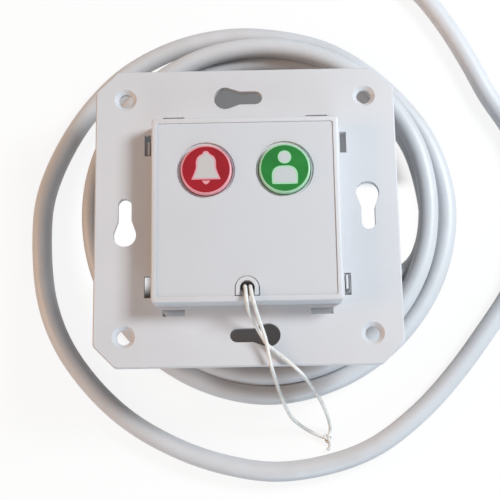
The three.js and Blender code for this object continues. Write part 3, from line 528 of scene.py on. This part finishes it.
bell_middle = scaled(bell, 0.85, 0.89, 0.15)
head_middle = scaled(head, 0.78, 0.78, 0.5)
shoulders_middle = scaled(shoulders, 0.86, 0.82, -0.3)
button_looks = {
    "call_button": {
        "side": -1, "radius": 0.00535, "slot": "red_lens",
        "edges": (bell, clapper), "middles": (bell_middle,),
        "disc": (0.327, 0.012, 0.021), "disc_shade": (0.25, 0.011, 0.018), "halo": (0.72, 0.31, 0.35),
        "edge": (0.68, 0.28, 0.33), "middle": (0.51, 0.485, 0.476),
    },
    "presence_button": {
        "side": 1, "radius": 0.0055, "slot": "green_lens",
        "edges": (head, shoulders), "middles": (head_middle, shoulders_middle),
        "disc": (0.021, 0.197, 0.036), "disc_shade": (0.015, 0.15, 0.03), "halo": (0.36, 0.60, 0.40),
        "edge": (0.34, 0.62, 0.40), "middle": (0.50, 0.53, 0.54),
    },
}
for body, look in button_looks.items():
    centre_x = look["side"] * button_x
    halo = look["halo"]
    cap_plastic = moulded(f"{body}_cap", halo, tuple(0.9 * part for part in halo), mottle=250.0,
                          depth=0.05, gloss=(0.3, 0.4), Subsurface_Weight=0.4, Specular_IOR_Level=0.3,
                          Subsurface_Radius=(0.002, 0.002, 0.002), Subsurface_Scale=0.4)
    disc_plastic = moulded(f"{body}_disc", look["disc"], look["disc_shade"], mottle=120.0, depth=0.05,
                           gloss=(0.28, 0.38), Specular_IOR_Level=0.2)
    edge_plastic = moulded(f"{body}_sign_edge", look["edge"], look["edge"], mottle=300.0, gloss=(0.3, 0.4))
    sign_plastic = moulded(f"{body}_sign", look["middle"], look["middle"], mottle=300.0, gloss=(0.3, 0.4))
    dressed(f"{body}_cap", cap_plastic, 0.0001, body=body)
    dressed(f"{body}_legend", disc_plastic, 0.00004, body=body)
    sign(f"{body}_disc", (disc,), centre_x, disc_radius, sign_rise, disc_plastic, body)
    sign(f"{body}_sign_edge", look["edges"], centre_x, look["radius"], 2 * sign_rise, edge_plastic, body)
    sign(f"{body}_sign", look["middles"], centre_x, look["radius"], 3 * sign_rise, sign_plastic, body)

# Floor and light: a plain pale table under a cool soft key light from the upper right, with a
# warm weak fill from the left and a cool one from below. The camera and mirror reflections see
# the table nearly white, and its shadows stay. Under the plate the table is painted dark as
# painted shade, and beside the plate's sides a painted glow whitens it.
reach = 8.0
table_glow = 0.88
painted_gap_glow = 0.12
table_paleness = 0.42
seen_paleness = 0.45
# The dark grey that the table is painted under the plate: painted shade.
painted_shade_colour = (0.22, 0.22, 0.225, 1)
floor_mesh = bpy.data.meshes.new("floor")
floor_mesh.from_pydata([(-reach, -reach, 0), (reach, -reach, 0), (reach, reach, 0), (-reach, reach, 0)],
                       [], [(0, 1, 2, 3)])
floor = bpy.data.objects.new("floor", floor_mesh)
bpy.context.scene.collection.objects.link(floor)
floor_material = bpy.data.materials.new("floor")
floor_material.use_nodes = True
floor_tree = floor_material.node_tree
floor_tree.nodes.clear()


def worked_out(tree, operation, first, second=0.0):
    step = tree.nodes.new("ShaderNodeMath")
    step.operation = operation
    for socket, value in zip(step.inputs, (first, second)):
        if isinstance(value, bpy.types.NodeSocket):
            tree.links.new(value, socket)
        else:
            socket.default_value = value
    return step.outputs[0]


def faded(value, full_at, gone_at):
    fade = add_node(floor_tree, "ShaderNodeMapRange", Value=value)
    fade.interpolation_type = "SMOOTHSTEP"
    fade.inputs["From Min"].default_value = full_at
    fade.inputs["From Max"].default_value = gone_at
    fade.inputs["To Min"].default_value = 1.0
    fade.inputs["To Max"].default_value = 0.0
    return fade.outputs["Result"]


def distance_from(centre):
    step = floor_tree.nodes.new("ShaderNodeVectorMath")
    step.operation = "DISTANCE"
    floor_tree.links.new(table_place, step.inputs[0])
    step.inputs[1].default_value = centre
    return step.outputs["Value"]


def direct_or_mirrored(tree):
    rays = add_node(tree, "ShaderNodeLightPath").outputs
    mirrored_rays = worked_out(tree, "MAXIMUM", rays["Is Glossy Ray"], rays["Is Transmission Ray"])
    return worked_out(tree, "MAXIMUM", rays["Is Camera Ray"], mirrored_rays)


# Under the plate the table's colour is painted dark, as painted shade, apart from the strips that the side
# keyholes look on; a partial painted shade lies under the top left corner hole.
table_place = add_node(floor_tree, "ShaderNodeTexCoord").outputs["Object"]
along = add_node(floor_tree, "ShaderNodeSeparateXYZ", Vector=table_place).outputs
from_side = worked_out(floor_tree, "ABSOLUTE", along["X"])
from_cross_line = worked_out(floor_tree, "ABSOLUTE", along["Y"])
from_middle = distance_from((0, 0.004, 0))
from_corner_hole = distance_from((-0.0335, 0.0396, 0))
under_plate = faded(from_middle, 0.038, 0.048)
open_strip = worked_out(floor_tree, "MULTIPLY", faded(from_cross_line, 0.012, 0.016),
                        faded(from_side, 0.029, 0.025))
plate_shade_mask = worked_out(floor_tree, "MULTIPLY", under_plate, worked_out(floor_tree, "SUBTRACT", 1.0, open_strip))
corner_hole_shade = worked_out(floor_tree, "MULTIPLY", faded(from_corner_hole, 0.003, 0.006), 0.6)
painted_shade_mask = worked_out(floor_tree, "MAXIMUM", plate_shade_mask, corner_hole_shade)
# Painted light: beside the plate's left and right edges, within the coil, the floor glows a little more to
# the camera and shows almost none of its shadow.
open_gap = worked_out(floor_tree, "MULTIPLY", faded(from_middle, 0.044, 0.05),
                      faded(from_cross_line, 0.03, 0.036))
painted_gap_light = worked_out(floor_tree, "MULTIPLY", open_gap, painted_gap_glow)
brightness = worked_out(floor_tree, "ADD", painted_gap_light, table_glow)
lit = worked_out(floor_tree, "MULTIPLY", worked_out(floor_tree, "SUBTRACT", 1.0, painted_shade_mask), brightness)
seen = direct_or_mirrored(floor_tree)
extra_paleness = worked_out(floor_tree, "MULTIPLY", seen, seen_paleness)
paleness = worked_out(floor_tree, "ADD", extra_paleness, table_paleness)
table_colour = floor_tree.nodes.new("ShaderNodeMix")
table_colour.data_type = "RGBA"
floor_tree.links.new(painted_shade_mask, table_colour.inputs[0])
floor_tree.links.new(paleness, table_colour.inputs[6])
table_colour.inputs[7].default_value = painted_shade_colour
matt = add_node(floor_tree, "ShaderNodeBsdfDiffuse", Color=table_colour.outputs[2])
glow = add_node(floor_tree, "ShaderNodeEmission", Color=(1, 1, 1, 1), Strength=1.0)
table_finish = floor_tree.nodes.new("ShaderNodeMixShader")
floor_tree.links.new(worked_out(floor_tree, "MULTIPLY", seen, lit), table_finish.inputs[0])
floor_tree.links.new(matt.outputs[0], table_finish.inputs[1])
floor_tree.links.new(glow.outputs[0], table_finish.inputs[2])
floor_result = floor_tree.nodes.new("ShaderNodeOutputMaterial")
floor_tree.links.new(table_finish.outputs[0], floor_result.inputs["Surface"])
floor_mesh.materials.append(floor_material)

for name, place, size, power, colour in (
    ("key_light", (0.31, 0.14, 0.32), 0.14, 2.15, (0.88, 0.95, 1.0)),
    ("fill_light", (-0.45, -0.02, 0.22), 0.25, 1.15, (1.0, 0.58, 0.3)),
    ("low_light", (0.12, -0.50, 0.20), 0.3, 1.3, (0.72, 0.87, 1.0)),
):
    light_data = bpy.data.lights.new(name, "AREA")
    light_data.size = size
    light_data.energy = power
    light_data.color = colour
    light = bpy.data.objects.new(name, light_data)
    light.location = place
    light.rotation_euler = (-Vector(place)).to_track_quat("-Z", "Y").to_euler()
    bpy.context.scene.collection.objects.link(light)

world = bpy.data.worlds.new("studio")
world.use_nodes = True
bpy.context.scene.world = world
sky_tree = world.node_tree
sky_tree.nodes.clear()
sky = add_node(sky_tree, "ShaderNodeBackground", Color=(1.0, 0.975, 0.96, 1), Strength=0.255)
backdrop = add_node(sky_tree, "ShaderNodeBackground", Color=(1, 1, 1, 1), Strength=1.0)
sky_finish = sky_tree.nodes.new("ShaderNodeMixShader")
sky_tree.links.new(direct_or_mirrored(sky_tree), sky_finish.inputs[0])
sky_tree.links.new(sky.outputs[0], sky_finish.inputs[1])
sky_tree.links.new(backdrop.outputs[0], sky_finish.inputs[2])
sky_result = sky_tree.nodes.new("ShaderNodeOutputWorld")
sky_tree.links.new(sky_finish.outputs[0], sky_result.inputs["Surface"])

bpy.context.scene.view_settings.view_transform = "Standard"
